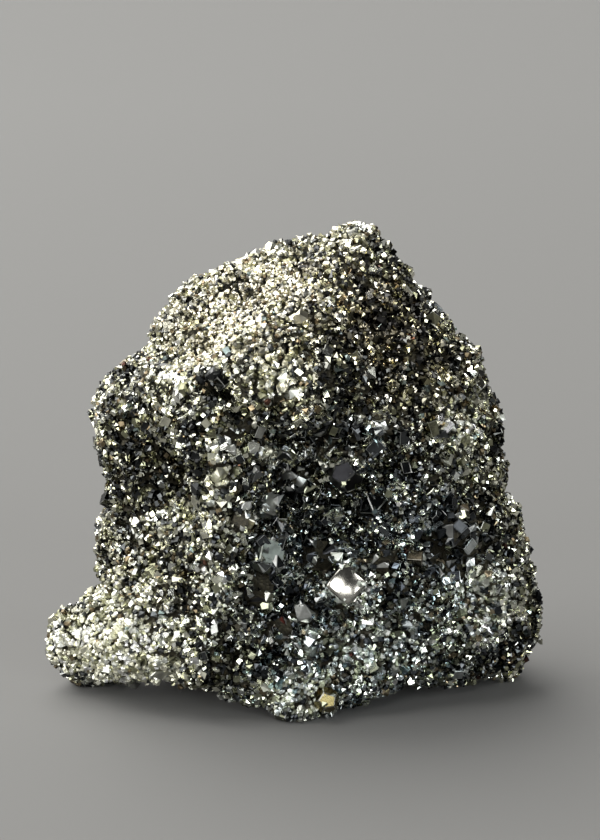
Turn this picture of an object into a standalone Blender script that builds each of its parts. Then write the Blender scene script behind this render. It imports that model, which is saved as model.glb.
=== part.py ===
"""A walnut-sized lump of raw pyrite: one solid of crystals grown together.

The lump is a slanting wedge with a peak on its right, a shelf and a flared foot on its left, a
dark hollow in the middle of its front and a keel below the hollow. It rests on small flat spots
worn on its lowest crystals. +Z is up and the front faces -Y.
"""

import math
import random

import bmesh
import bpy
from mathutils import Matrix, Vector, noise

MM = 0.001

# Relief of the broken surface, in millimetres.
GRID = 0.75
WORN_EDGES = 2
SWELL = 0.22
LUMP_SIZE = 5.0
LUMP_HEIGHT = 0.85
KNOB_SIZE = 2.3
KNOB_HEIGHT = 0.6
HOLLOW_ROUGHNESS = 0.25

# The crust of small crystals. Rises and insets are shares of a crystal's own width.
CRUST_CRYSTALS = 2060
RISE = (0.12, 0.5)
LEAN = 0.25
FLAT_TOPPED = 0.1
FLAT_INSET = 0.16
FLAT_RISE = 0.8

# Single crystals scattered over the walls of the middle hollow, in millimetres.
HOLLOW_CRYSTALS = 22
HOLLOW_EDGE = (1.3, 2.2)
HOLLOW_REACH = (6.5, 9.5)
SUNK = 0.12

SEED = 12

# The main masses of the lump, each the convex hull of its corners, in millimetres.
BLOCKS = {
    "body": [
        (-13, -5, 1.8), (-4, -10.5, 2.0), (10, -8, 1.7), (18.6, -1, 1.8), (17, 8, 0.7), (4, 12, 0.8),
        (-11, 9, 1.0), (-16.0, -1, 14), (-5, -12.3, 14), (11.5, -8.5, 13), (18.4, 0, 14), (16.2, 8, 12),
        (3, 13.3, 12), (-13, 9, 14), (-16.2, -1, 24), (-6, -11.5, 25.5), (10, -6.5, 26),
        (16.2, 0, 25.4), (13, 8, 24), (1, 12, 23), (-13, 8.5, 24),
    ],
    "crown": [
        (6.1, 1, 39.5), (4.4, 1.6, 39.2), (1.1, 4, 38.2), (-3.8, 5, 36.4), (-8.0, 5.5, 34.2),
        (-10.1, 5, 33.0), (-11.3, 4.5, 31.4), (-12.0, 4, 28.6), (7.2, 1.5, 37.9), (8.4, 2, 36.2),
        (10.9, 2, 32.2), (12.2, 1, 29.8), (-2.7, -9.6, 30.2), (2.7, -5.6, 34.2), (9, 8.4, 30),
        (0, 10.2, 30), (-11, 8, 27), (-8, -8.6, 26.5), (12, -5, 26), (14, 1, 25), (10, 10, 22),
        (1, 12.4, 22), (-11, 9.6, 21),
    ],
    "nose": [
        (-7.6, -10.0, 28.4), (-4.4, -9.8, 29.4), (0, -9.8, 30.2), (3.4, -8.8, 29.0),
        (-4.2, -12.1, 25.8), (0.8, -12.2, 25.3), (3.8, -10.9, 25.3), (-4, -5, 33), (3, -4, 33),
        (0, -4, 24),
    ],
    "right_face": [
        (3.2, -5.0, 34.0), (10.6, 1.6, 32.0), (14.8, 0, 27.2), (16.4, -1.0, 22), (12.6, -6.6, 19),
        (6, -9.6, 22.8), (4.5, -8.6, 28.6), (4, 0, 22),
    ],
    "shoulder": [
        (13.8, 0, 29.6), (15.0, 0.6, 28.7), (15.2, 0.8, 27.0), (16.0, 0, 24.6), (12, -4.6, 27.6),
        (11, 6, 28.6), (14, 6, 25), (10, -4, 22),
    ],
    "shelf": [
        (-17.7, 0, 24.5), (-16.2, 0.4, 26.5), (-14.0, 1, 27.6), (-12.0, 2.4, 28.4), (-16.2, -3, 24.9),
        (-11.8, -7.2, 26.8), (-7.8, -10.4, 28.4), (-16.4, -1, 19.6), (-12, -7.8, 20.5), (-6, -11.7, 22),
        (-13, 6, 24),
    ],
    "foot": [
        (-21.0, -1.6, 4.4), (-20.6, -2.6, 2.8), (-19.5, -1, 1.2), (-18.6, 0.8, -0.3),
        (-18.0, -4.6, 2.2), (-20.7, -1, 5.0), (-19.3, -0.5, 6.9), (-17.3, 0, 8.8), (-13, -9.4, 6.0),
        (-12.4, -9.0, 3.5), (-6, -12.0, 7.4), (-5.8, -11.2, 3.7), (-10, -8.7, 11.5), (-18.6, 4, -0.3),
        (-17.6, 5, 5), (-12, 5, 10),
    ],
    "waist": [
        (-17.1, 0, 8.6), (-17.2, 0, 12.8), (-16.6, 0.4, 14.2), (-12, -7.4, 12.4), (-13.4, -7.6, 8.4),
        (-14, 6, 14), (-15, 6, 7), (-6, -6, 16),
    ],
    "keel": [
        (0.3, -11.1, -0.4), (2.2, -10.6, -0.4), (-1.2, -10.8, 0.6), (0, -6, -0.5), (4.6, -7.4, 0.9),
        (-4, -12.6, 4.8), (6, -10.3, 4.8), (-3, -4, 3),
    ],
    "flank": [
        (20.4, 0, 3.6), (19.8, -3, 4.4), (19.2, -0.6, 1.8), (17.4, 1.4, -0.4), (19.7, 0, 9.3),
        (18.6, 4, -0.4), (18.6, 0, 15), (14, -7.4, 5.8), (15, -6.2, 12), (17.4, 7, 10),
    ],
    "rib": [
        (-9.2, -11.0, 27.6), (-7.6, -11.4, 27.0), (-6.8, -12.9, 15), (-5.2, -13.2, 12), (-7.8, -8, 28),
        (-6.8, -8, 12),
    ],
    "rear": [
        (-6, 11.5, 5), (3, 14.0, 7), (10, 12.4, 4), (0, 13.4, 17), (7, 12.2, 19), (-7, 11.5, 18),
        (1, 10.5, -0.5), (8, 9, -0.4), (-2, 8, 24),
    ],
}

# The hollows cut into the lump: centre, radii and turn about Y in degrees.
HOLLOWS = {
    "middle": ((2.7, -13.6, 16.2), (7.8, 8.2, 7.0), 0),
    "middle_low": ((0.4, -14.4, 9.8), (5.6, 6.4, 4.8), 20),
    "under_nose": ((4.2, -12.0, 22.9), (8.4, 5.6, 1.7), 2),
    "left": ((-13.2, -8.6, 19.8), (5.2, 4.8, 4.6), 12),
    "left_groove": ((-9.4, -11.4, 21.5), (0.7, 3.0, 4.6), -6),
    "left_notch": ((-18.9, -3.5, 15.9), (2.9, 6.0, 2.0), 20),
    "right": ((13.0, -10.0, 14.2), (3.9, 4.8, 3.0), 15),
    "right_high": ((8.6, -9.2, 20.4), (3.4, 2.6, 1.6), -10),
    "peak_notch": ((6.9, 0.5, 39.3), (0.5, 3.0, 1.0), 0),
    "undercut_left": ((-9.2, -10.2, 0.6), (6.4, 5.0, 2.4), -4),
    "undercut_right": ((12.4, -9.4, -1.2), (7.4, 4.6, 2.2), -4),
    "belly": ((0.5, 0.6, -3.0), (15.5, 6.6, 5.0), 0),
    "belly_left": ((-9.0, 6.0, -1.6), (7.0, 6.0, 3.2), 0),
    "belly_right": ((12.5, 1.5, -1.6), (3.6, 6.0, 2.8), 0),
    "rear_left": ((-10.0, 13.0, 15.0), (5.2, 4.2, 7.0), 20),
    "rear_high": ((8.5, 13.4, 24.0), (5.0, 3.6, 3.4), -30),
    "rear_low": ((13.0, 13.0, 7.5), (4.0, 4.0, 4.5), 10),
}

# The larger single crystals: place, edge, turns about X, Y and Z in degrees, and form.
LARGE_CRYSTALS = [
    ((-2.5, -11.2, 13.8), 2.8, (-30, 25, 20), "cube"),
    ((-3.1, -11.0, 10.9), 2.8, (40, 25, 10), "cube"),
    ((4.1, -9.8, 11.1), 3.0, (-16, 35, -24.5), "cube"),
    ((-1.4, -10.8, 7.6), 2.2, (50, 15, 20), "cube"),
    ((3.9, -7.4, 19.8), 2.9, (10, 45, 15), "pyritohedron"),
    ((12.9, -6.6, 14.8), 2.6, (35, 5, 55), "cube"),
    ((-0.3, -7.8, 19.4), 2.5, (20, 40, 60), "cube"),
    ((1.0, -7.3, 16.0), 1.9, (60, 30, 5), "cube"),
    ((3.0, -7.4, 16.2), 1.9, (20, 60, 35), "cube"),
    ((6.2, -7.6, 17.2), 2.4, (30, 55, 25), "octahedron"),
    ((1.7, -8.4, 13.2), 2.7, (48, 12, 30), "cube"),
    ((7.0, -9.3, 13.0), 2.3, (25, 38, 12), "cube"),
    ((2.3, -11.4, 1.9), 2.0, (45, 20, 0), "pyritohedron"),
    ((0.5, -9.6, 8.8), 2.2, (25, 50, 70), "octahedron"),
    ((-2.7, -9.2, 17.6), 2.2, (70, 20, 40), "cube"),
    ((-4.4, -12.2, 16.8), 1.9, (-20, 18, -12), "cube"),
]


def mesh_object(name, mesh, collection):
    """An object for the mesh, linked to the collection."""
    made = bpy.data.objects.new(name, mesh)
    collection.objects.link(made)
    return made


def from_bmesh(name, bm, collection):
    """An object from the bmesh, which is freed."""
    mesh = bpy.data.meshes.new(name)
    bm.to_mesh(mesh)
    bm.free()
    return mesh_object(name, mesh, collection)


def hull_block(name, corners, collection):
    """One cleaved block: the convex hull of its corners."""
    bm = bmesh.new()
    for corner in corners:
        bm.verts.new(Vector(corner) * MM)
    hull = bmesh.ops.convex_hull(bm, input=bm.verts)
    inside = [item for item in hull["geom_interior"] if isinstance(item, bmesh.types.BMVert)]
    bmesh.ops.delete(bm, geom=inside, context="VERTS")
    bmesh.ops.recalc_face_normals(bm, faces=bm.faces)
    return from_bmesh(name, bm, collection)


def hollow_cutter(name, centre, radii, turn, collection):
    """A rough ellipsoid that cuts one hollow."""
    bm = bmesh.new()
    bmesh.ops.create_icosphere(bm, subdivisions=3, radius=1.0)
    for vert in bm.verts:
        vert.co *= 1.0 + HOLLOW_ROUGHNESS * noise.noise(vert.co * 2.3 + Vector(centre))
    place = (
        Matrix.Translation(Vector(centre) * MM)
        @ Matrix.Rotation(math.radians(turn), 4, "Y")
        @ Matrix.Diagonal((*(Vector(radii) * MM), 1.0))
    )
    bmesh.ops.transform(bm, matrix=place, verts=bm.verts)
    return from_bmesh(name, bm, collection)


def add_boolean(target, name, operation, operand):
    """A Boolean modifier with a collection or an object as its operand."""
    modifier = target.modifiers.new(name, "BOOLEAN")
    modifier.operation = operation
    modifier.solver = "EXACT"
    if isinstance(operand, bpy.types.Collection):
        modifier.operand_type = "COLLECTION"
        modifier.collection = operand
    else:
        modifier.object = operand
    return modifier


def baked(target):
    """The object's mesh with its modifiers applied."""
    graph = bpy.context.evaluated_depsgraph_get()
    return bpy.data.meshes.new_from_object(target.evaluated_get(graph))


def lump_height(point):
    """How far the surface stands proud of the plain blocks at a point, in millimetres."""
    swell = noise.fractal(point / LUMP_SIZE, 1.0, 2.0, 3)
    nearest = noise.voronoi(point / KNOB_SIZE)[0]
    knob = 0.5 - min(nearest[0], 1.0)
    return SWELL + LUMP_HEIGHT * swell + KNOB_HEIGHT * knob


def rough_mass(blocks, cutters, collection):
    """The blocks joined, hollowed, remeshed on an even grid and swollen into lumps."""
    names = list(BLOCKS)
    first = hull_block(names[0], BLOCKS[names[0]], collection)
    for name in names[1:]:
        hull_block(name, BLOCKS[name], blocks)
    for name, (centre, radii, turn) in HOLLOWS.items():
        hollow_cutter(f"hollow_{name}", centre, radii, turn, cutters)
    add_boolean(first, "join blocks", "UNION", blocks)
    add_boolean(first, "cut hollows", "DIFFERENCE", cutters)
    remesh = first.modifiers.new("even grid", "REMESH")
    remesh.mode = "VOXEL"
    remesh.voxel_size = GRID * MM
    smooth = first.modifiers.new("worn edges", "SMOOTH")
    smooth.factor = 0.5
    smooth.iterations = WORN_EDGES
    mesh = baked(first)
    bpy.data.objects.remove(first)

    bm = bmesh.new()
    bm.from_mesh(mesh)
    bm.normal_update()
    moves = [vert.normal * lump_height(vert.co / MM) * MM for vert in bm.verts]
    for vert, move in zip(bm.verts, moves):
        vert.co += move
    bm.to_mesh(mesh)
    bm.free()
    return mesh


def thinned(mesh, triangles, collection):
    """The mesh with about this many uneven triangles."""
    holder = mesh_object("thinning", mesh, collection)
    triangulate = holder.modifiers.new("triangles", "TRIANGULATE")
    triangulate.quad_method = "BEAUTY"
    decimate = holder.modifiers.new("fewer faces", "DECIMATE")
    decimate.ratio = triangles / (2 * len(mesh.polygons))
    result = baked(holder)
    bpy.data.objects.remove(holder)
    return result


def raise_points(mesh, rng):
    """Raises a crystal on every triangle: a three-sided point, or here and there a flat top."""
    bm = bmesh.new()
    bm.from_mesh(mesh)
    bmesh.ops.triangulate(bm, faces=bm.faces)
    bm.normal_update()
    flat = []
    pointed = []
    for face in bm.faces:
        if rng.random() < FLAT_TOPPED:
            flat.append(face)
        else:
            pointed.append(face)
    tips = []
    for face in pointed:
        side = math.sqrt(face.calc_area())
        corner = rng.choice(face.verts).co
        tip = face.calc_center_median().lerp(corner, rng.uniform(0.0, LEAN))
        tips.append(tip + face.normal * side * rng.uniform(*RISE))
    for face in flat:
        side = math.sqrt(face.calc_area())
        rise = side * rng.uniform(*RISE) * FLAT_RISE
        bmesh.ops.inset_individual(bm, faces=[face], thickness=side * FLAT_INSET, depth=rise)
    poked = bmesh.ops.poke(bm, faces=pointed)
    for vert, tip in zip(poked["verts"], tips):
        vert.co = tip
    bm.to_mesh(mesh)
    bm.free()
    return mesh


def form_corners(form):
    """The corners of one crystal form, each form about one across."""
    signs = (-1, 1)
    if form == "cube":
        return [(x * 0.4, y * 0.4, z * 0.4) for x in signs for y in signs for z in signs]
    if form == "octahedron":
        return [tuple(0.6 * s * (k == axis) for k in range(3)) for axis in range(3) for s in signs]
    corners = [(x / 3, y / 3, z / 3) for x in signs for y in signs for z in signs]
    for a in signs:
        for b in signs:
            corners += [(0, a * 0.5, b * 0.25), (a * 0.5, b * 0.25, 0), (b * 0.25, 0, a * 0.5)]
    return corners


def crystal(name, place, edge, turns, form, collection):
    """One large crystal at its place: a cube, an octahedron or a pyritohedron."""
    bm = bmesh.new()
    for corner in form_corners(form):
        bm.verts.new(Vector(corner) * edge * MM)
    bmesh.ops.convex_hull(bm, input=bm.verts)
    bmesh.ops.recalc_face_normals(bm, faces=bm.faces)
    spin = Matrix.Identity(4)
    for angle, axis in zip(turns, "XYZ"):
        spin = Matrix.Rotation(math.radians(angle), 4, axis) @ spin
    bmesh.ops.transform(bm, matrix=Matrix.Translation(Vector(place) * MM) @ spin, verts=bm.verts)
    return from_bmesh(name, bm, collection)


def scatter_crystals(mesh, rng, collection):
    """Small crystals half sunk in the walls of the middle hollow."""
    centre = Vector(HOLLOWS["middle"][0])
    reach_x, reach_z = HOLLOW_REACH
    sites = []
    for face in mesh.polygons:
        offset = face.center / MM - centre
        near = abs(offset.x) < reach_x and abs(offset.z) < reach_z and offset.y > 0
        if near and face.normal.y < -0.3:
            sites.append(face)
    for index in range(HOLLOW_CRYSTALS):
        site = rng.choice(sites)
        edge = rng.uniform(*HOLLOW_EDGE)
        turns = [rng.uniform(0, 90) for _ in "XYZ"]
        form = rng.choice(["cube", "cube", "pyritohedron", "octahedron"])
        place = site.center / MM - site.normal * edge * SUNK
        crystal(f"small_crystal_{index}", place, edge, turns, form, collection)


def floor_cutter(collection):
    """A slab whose top is the surface that the lump rests on."""
    bm = bmesh.new()
    bmesh.ops.create_cube(bm, size=1.0)
    place = Matrix.Translation((0, 0, -5 * MM)) @ Matrix.Diagonal((0.1, 0.1, 10 * MM, 1.0))
    bmesh.ops.transform(bm, matrix=place, verts=bm.verts)
    return from_bmesh("floor", bm, collection)


def pyrite_material():
    """Pale brassy metal."""
    material = bpy.data.materials.new("pyrite")
    material.use_nodes = True
    shader = material.node_tree.nodes["Principled BSDF"]
    shader.inputs["Base Color"].default_value = (0.46, 0.41, 0.27, 1.0)
    shader.inputs["Metallic"].default_value = 1.0
    shader.inputs["Roughness"].default_value = 0.32
    return material


def new_collection(name, helper):
    """A collection in the scene. A helper's objects aren't rendered."""
    made = bpy.data.collections.new(name)
    bpy.context.scene.collection.children.link(made)
    made.hide_render = helper
    return made


def hide_helpers(collection):
    """Leaves a collection's objects out of the render, drawn as wires."""
    for helper in collection.objects:
        helper.hide_render = True
        helper.display_type = "WIRE"


def centre_on_box(mesh):
    """Moves the mesh so that the origin is at the bottom centre of its box."""
    low = Vector([min(v.co[k] for v in mesh.vertices) for k in range(3)])
    high = Vector([max(v.co[k] for v in mesh.vertices) for k in range(3)])
    middle = (low + high) / 2
    mesh.transform(Matrix.Translation((-middle.x, -middle.y, -low.z)))


def main():
    """Builds the lump."""
    for old in list(bpy.data.objects):
        bpy.data.objects.remove(old)
    rng = random.Random(SEED)
    pyrite = new_collection("pyrite", False)
    blocks = new_collection("blocks", True)
    cutters = new_collection("cutters", True)
    crystals = new_collection("crystals", True)
    floor = new_collection("floor", True)

    mesh = rough_mass(blocks, cutters, pyrite)
    mesh = thinned(mesh, CRUST_CRYSTALS, pyrite)
    mesh = raise_points(mesh, rng)
    lump = mesh_object("pyrite", mesh, pyrite)

    for index, (place, edge, turns, form) in enumerate(LARGE_CRYSTALS):
        crystal(f"crystal_{index}", place, edge, turns, form, crystals)
    scatter_crystals(mesh, rng, crystals)
    add_boolean(lump, "grow crystals", "UNION", crystals)
    add_boolean(lump, "rest spots", "DIFFERENCE", floor_cutter(floor))
    lump.data = baked(lump)
    lump.modifiers.clear()
    centre_on_box(lump.data)
    lump.data.materials.clear()
    lump.data.materials.append(pyrite_material())

    for collection in (blocks, cutters, crystals, floor):
        hide_helpers(collection)


main()
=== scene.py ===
"""Looks of a walnut-sized lump of raw pyrite: thousands of small brassy crystals on a dark core.

The solid gives the form. Its skin, pulled in a little, is the core, and crystals of several sizes
stand in the core with their tips where the solid's skin is. Lengths are in millimetres until a
mesh is made.
"""

import math
from itertools import product

import bmesh
import bpy
import numpy as np
from mathutils import Matrix, Vector, noise


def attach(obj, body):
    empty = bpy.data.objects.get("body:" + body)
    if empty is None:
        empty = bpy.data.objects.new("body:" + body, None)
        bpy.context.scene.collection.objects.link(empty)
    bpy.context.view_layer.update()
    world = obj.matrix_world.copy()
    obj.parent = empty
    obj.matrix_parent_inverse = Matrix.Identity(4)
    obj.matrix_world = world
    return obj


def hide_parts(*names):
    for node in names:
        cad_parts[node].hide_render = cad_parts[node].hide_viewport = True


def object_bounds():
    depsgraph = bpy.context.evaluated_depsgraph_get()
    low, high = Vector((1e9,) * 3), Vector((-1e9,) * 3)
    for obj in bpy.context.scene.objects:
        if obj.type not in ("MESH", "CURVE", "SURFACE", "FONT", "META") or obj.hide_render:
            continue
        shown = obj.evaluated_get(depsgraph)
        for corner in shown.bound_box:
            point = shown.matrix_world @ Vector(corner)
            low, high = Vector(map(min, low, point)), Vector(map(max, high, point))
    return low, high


MM = 0.001
SEED = 5
FORM_SEED = 3
BEND_SEED = 100
TINY = 1e-12
SIGNS = (-1, 1)

# The camera, at the photograph's angle and distance
IMAGE_LONG_SIDE = 840
MM_PER_PIXEL = 0.08425
CAMERA_DISTANCE = 200.0
CAMERA_ELEVATION = math.radians(10.0)
CAMERA_AIM = (0.5, 0.0, 22.8)
CAMERA_CLIP = (0.01, 50.0)
SENSOR = 36.0

# The solid's skin. The flat spots that it rests on face down and carry no crystals.
KEYS_PER_MM = 1e4
NORMAL_ROUNDS = 5
REST_FACING = -0.99
REST_HEIGHT = 0.02

# The core, how wide the crystals are for their spacing, and how far they stay inside the solid's box
CORE_INSET = 0.38
WIDTH_PER_SPACING = 1.65
WIDTH_SPREAD = (0.85, 1.2)
STRETCH_SPREAD = (0.78, 1.22)
BEND = 0.035
BOX_MARGIN = 0.01

# Neighbours are looked up in a grid of cells this wide.
CELL = 0.35

# Some crystals grow with a face along the lump's surface, give or take a tilt in radians.
LEVEL_SHARE = 0.45
LEVEL_TILT = 0.28

# Sizes of crystal, coarse to fine. Spacing is in millimetres, and sunk is a share of the width.
SIZES = {
    "druse": {"spacing": (0.38, 0.90), "tries": 12_000, "sunk": (0.30, 0.48)},
    "coarse": {"spacing": (0.48, 0.80), "tries": 700, "sunk": (0.40, 0.54)},
    "common": {"spacing": (0.25, 0.42), "tries": 150_000, "sunk": (0.32, 0.54)},
    "fine": {"spacing": (0.17, 0.23), "tries": 200_000, "sunk": (0.48, 0.66)},
}
# Specks and thin curved ridges that stand on the others in the dark places
OVERGROWTH = {
    "fleck": {"count": 2600, "width": (0.16, 0.42), "sunk": (0.25, 0.5)},
    "curl": {"count": 1500, "width": (0.5, 1.2), "sunk": (-0.02, 0.06)},
}
# Where in its range a spacing falls: partly at random, and partly in patches (size, shift of the noise)
SPACING_RANDOM = 0.7
SPACING_PATCHY = 0.6
SPACING_DROP = 0.15
SPACING_PATCH = (4.0, 17.0)

# Half sizes and corner distances of the regular forms, for a crystal about one across
CUBE_HALF = 0.4
SLAB_HALF = (0.58, 0.40, 0.15)
OCTAHEDRON_REACH = 0.6
CUBOCTAHEDRON_REACH = 0.42
PYRITOHEDRON_CUBE = 1 / 3
PYRITOHEDRON_LONG = 0.5
PYRITOHEDRON_SHORT = 0.25

# A cube whose faces bulge. It is shaded smooth and has no growth lines.
SMOOTH_FORM = "domed"
DOME_GRID = 15
DOME_RISE = 0.07

# Curved ridges: how many degrees they turn, how thick they are, and their section
CURL_TURNS = (60, 100, 150)
CURL_THICKNESS = 0.05
CURL_PARTS = 6
CURL_SECTION = ((-1, -0.6), (1, -0.6), (0, 1.4))

# Wear and growth steps of a crystal about one across. A step is an inset, a rise and a sideways shift.
EDGE_WEAR = 0.03
GROWTH_STEPS = (
    ((0.06, 0.0, 0.035), (0.004, 0.020, 0.0), (0.08, 0.0, 0.05), (0.004, 0.016, 0.0)),
    ((0.10, 0.0, 0.07), (0.004, 0.026, 0.0)),
    ((0.04, 0.0, 0.03), (0.004, -0.018, 0.0), (0.09, 0.0, 0.06), (0.004, 0.020, 0.0)),
)
MAIN_FACE = 0.12
FLAT_ANGLE = 0.01
BEVEL_FACING = 0.9

# Irregular forms, each the hull of random corners at a distance within reach
IRREGULAR_FORMS = {
    "chip": {"count": 4, "corners": 9, "reach": (0.42, 0.60), "squash": (1, 1, 1), "wear": 0.0},
    "shard": {"count": 4, "corners": 9, "reach": (0.42, 0.60), "squash": (1, 1, 1), "wear": EDGE_WEAR},
    "plate": {"count": 2, "corners": 9, "reach": (0.50, 0.64), "squash": (1, 0.8, 0.35), "wear": EDGE_WEAR},
    "flake": {"count": 3, "corners": 10, "reach": (0.48, 0.60), "squash": (1, 0.8, 0.3), "wear": 0.0},
    "grain": {"count": 3, "corners": 17, "reach": (0.46, 0.52), "squash": (1, 1, 1), "wear": 0.0},
}

# How often each size takes a form. A form that isn't named for a size doesn't grow in it.
FORM_SHARES = {
    "druse": {
        "stepped_0": 0.05, "stepped_1": 0.05, "stepped_2": 0.05, "worn_cube": 0.03,
        "worn_pyritohedron": 0.06, "shard_0": 0.16, "shard_1": 0.16, "shard_2": 0.16,
        "shard_3": 0.14, "plate_0": 0.07, "plate_1": 0.07,
    },
    "coarse": {"worn_cube": 0.30, "pyritohedron": 0.25, "cuboctahedron": 0.25, "chip_0": 0.20},
    "common": {
        "cube": 0.12, "octahedron": 0.06, "cuboctahedron": 0.14, "pyritohedron": 0.12,
        "chip_0": 0.09, "chip_1": 0.09, "chip_2": 0.09, "chip_3": 0.09, "flake_1": 0.10, "flake_2": 0.10,
    },
    "fine": {"cube": 0.4, "octahedron": 0.2, "chip_1": 0.2, "chip_3": 0.2},
    "fleck": {"cube": 0.3, "octahedron": 0.2, "chip_0": 0.2, "chip_2": 0.3},
    "curl": {"curl_0": 0.3, "curl_1": 0.4, "curl_2": 0.3},
}
# On pale places this share of the common crystals are rounded grains.
GRAIN_SHARE = 0.85

# Dark places, as ellipsoids: centre, radii and how strong. They paint shade into the crystals' colours: in
# the hollows, under overhangs, in clefts and over parts of the crown.
PAINTED_SHADE_PLACES = {
    "hollow": ((-0.5, -9.5, 16.5), (5.2, 5.5, 8.8), 1.0),
    "hollow_right": ((7.0, -9.0, 17.0), (5.4, 4.5, 7.0), 0.8),
    "hollow_low": ((-0.6, -11.0, 9.4), (4.2, 4.5, 4.6), 1.0),
    "under_nose": ((1.0, -10.0, 23.1), (11.0, 5.0, 2.4), 1.0),
    "right": ((13.2, -7.4, 14.8), (5.2, 4.5, 4.4), 1.0),
    "nose_right": ((4.9, -9.3, 26.9), (3.8, 4.0, 3.4), 0.75),
    "crown_right": ((8.5, -5.0, 31.5), (4.0, 5.0, 5.5), 0.5),
    "left": ((-13.0, -6.0, 20.5), (4.8, 4.5, 5.5), 0.45),
    "beside_rib": ((-8.0, -12.0, 22.0), (1.5, 3.0, 5.0), 0.85),
    "right_corner": ((18.0, -4.0, 3.3), (4.0, 4.0, 3.0), 0.9),
    "ledge": ((-13.0, -4.0, 26.5), (6.0, 7.0, 4.0), 0.5),
    "crest": ((3.0, -2.0, 35.5), (6.0, 6.0, 5.0), 0.24),
}
# Pale places, as ellipsoids in the same way: painted light in the crystals' colours where the lump is lit
PAINTED_LIGHT_PLACES = {
    "foot": ((-14.0, -6.0, 5.0), (11.0, 9.0, 7.0), 1.0),
    "nose": ((-1.0, -11.0, 28.5), (4.8, 4.0, 4.0), 0.6),
    "rib": ((-6.0, -12.4, 19.5), (1.7, 3.0, 8.0), 0.5),
    "rib_low": ((-6.6, -12.2, 11.5), (1.8, 3.0, 6.0), 0.5),
    "keel": ((1.0, -12.0, 2.5), (4.5, 3.0, 3.0), 0.8),
    "low_band": ((7.0, -11.0, 5.5), (9.0, 4.0, 4.5), 0.4),
    "low_right": ((16.0, -6.5, 8.5), (4.5, 5.0, 5.0), 0.5),
    "right_flank": ((13.5, -4.5, 23.0), (3.5, 4.5, 5.5), 0.45),
}
# Painted highlights: small pale clusters that stand out in the dark
PAINTED_GLINT_PLACES = {
    "streak": ((-1.9, -9.4, 17.7), (2.4, 2.0, 0.9), 1.0),
    "ring": ((2.7, -8.8, 19.6), (1.2, 1.5, 1.2), 1.0),
    "high": ((-1.9, -10.9, 22.3), (1.3, 1.5, 1.1), 0.9),
    "round_bright": ((4.3, -10.6, 11.0), (3.2, 3.0, 3.0), 0.9),
    "low": ((-2.2, -12.0, 8.4), (1.0, 1.5, 0.8), 0.9),
    "middle": ((2.4, -9.6, 14.4), (1.0, 1.6, 0.7), 0.9),
}
# The crown's slope has a finer and more even crust, with fewer near-black crystals: painted light on the
# lit slope.
FINE_PLACES = {
    "slope": ((-4.0, -3.0, 32.0), (14.0, 10.0, 9.0), 1.0),
}
FINE_SHRINK = 0.3
FINE_DARK_CUT = 0.55

# A place is at full strength inside, and fades towards its edge.
FADE = 1.6

# The druse stands in the dark places named here, away from the pale clusters.
COARSE_PLACES = ("hollow", "hollow_low", "under_nose", "right")
DRUSE_SHADE = 0.35
DRUSE_GLINT = 0.3
OVERGROWN_PLACES = ("hollow", "hollow_right", "hollow_low")

# How far the solid was moved to centre it, and its larger single crystals with it
LARGE_SHIFT = (0.33, -0.46, 0.0)
# The larger crystals: place, size, turns about X, Y and Z in degrees, form, colour and gloss. Their
# near-black colours are partly tarnish, partly painted shade and dark reflections.
LARGE_CRYSTALS = [
    ((-2.5, -11.2, 13.8), 2.6, (-30, 25, 20), "stepped_1", (0.42, 0.46, 0.42), 0.34),
    ((-3.1, -11.0, 10.9), 2.8, (40, 25, 10), "shard_0", (0.02, 0.02, 0.025), 0.08),
    ((4.1, -9.8, 11.1), 3.0, (-22, 35, -23), SMOOTH_FORM, (0.44, 0.43, 0.39), 0.14),
    ((-1.4, -10.8, 7.6), 2.2, (50, 15, 20), "shard_0", (0.07, 0.02, 0.015), 0.24),
    ((3.9, -7.4, 19.8), 2.9, (10, 45, 15), "worn_pyritohedron", (0.02, 0.02, 0.022), 0.34),
    ((12.9, -6.6, 14.8), 2.6, (35, 5, 55), "shard_1", (0.05, 0.05, 0.05), 0.10),
    ((-0.3, -7.8, 19.4), 2.5, (20, 40, 60), "shard_2", (0.05, 0.06, 0.07), 0.08),
    ((1.0, -7.3, 16.0), 1.6, (60, 30, 5), "shard_3", (0.30, 0.20, 0.06), 0.26),
    ((3.0, -7.4, 16.2), 1.5, (20, 60, 35), "shard_1", (0.34, 0.34, 0.24), 0.34),
    ((6.2, -7.6, 17.2), 2.4, (30, 55, 25), "worn_octahedron", (0.08, 0.085, 0.09), 0.10),
    ((1.7, -8.4, 13.2), 2.7, (48, 12, 30), "shard_3", (0.05, 0.05, 0.06), 0.10),
    ((7.0, -9.3, 13.0), 2.3, (25, 38, 12), "shard_0", (0.06, 0.06, 0.06), 0.10),
    ((2.3, -11.4, 1.9), 2.0, (45, 20, 0), "worn_pyritohedron", (0.24, 0.20, 0.09), 0.26),
    ((0.5, -9.6, 8.8), 2.2, (25, 50, 70), "shard_2", (0.05, 0.05, 0.055), 0.08),
    ((-2.7, -9.2, 17.6), 2.2, (70, 20, 40), "stepped_0", (0.30, 0.30, 0.27), 0.30),
    ((-4.4, -12.2, 16.8), 1.9, (-20, 18, -12), "shard_3", (0.66, 0.64, 0.46), 0.40),
]
# How much room a larger crystal keeps for its width, and which part of it stays bare of small ones
LARGE_SPACING = 0.9
BARE_HALF = 0.44
BARE_REACH = 0.58

# Colours that the crystals are picked from
PALETTE = {
    "pale": (0.66, 0.65, 0.53),
    "silver": (0.62, 0.63, 0.58),
    "olive": (0.33, 0.33, 0.22),
    "brown": (0.20, 0.16, 0.10),
    "red": (0.12, 0.06, 0.045),
    "teal": (0.28, 0.35, 0.34),
    # Near-black: partly tarnish, partly painted shade and dark reflections
    "dark": (0.055, 0.058, 0.059),
}
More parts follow.
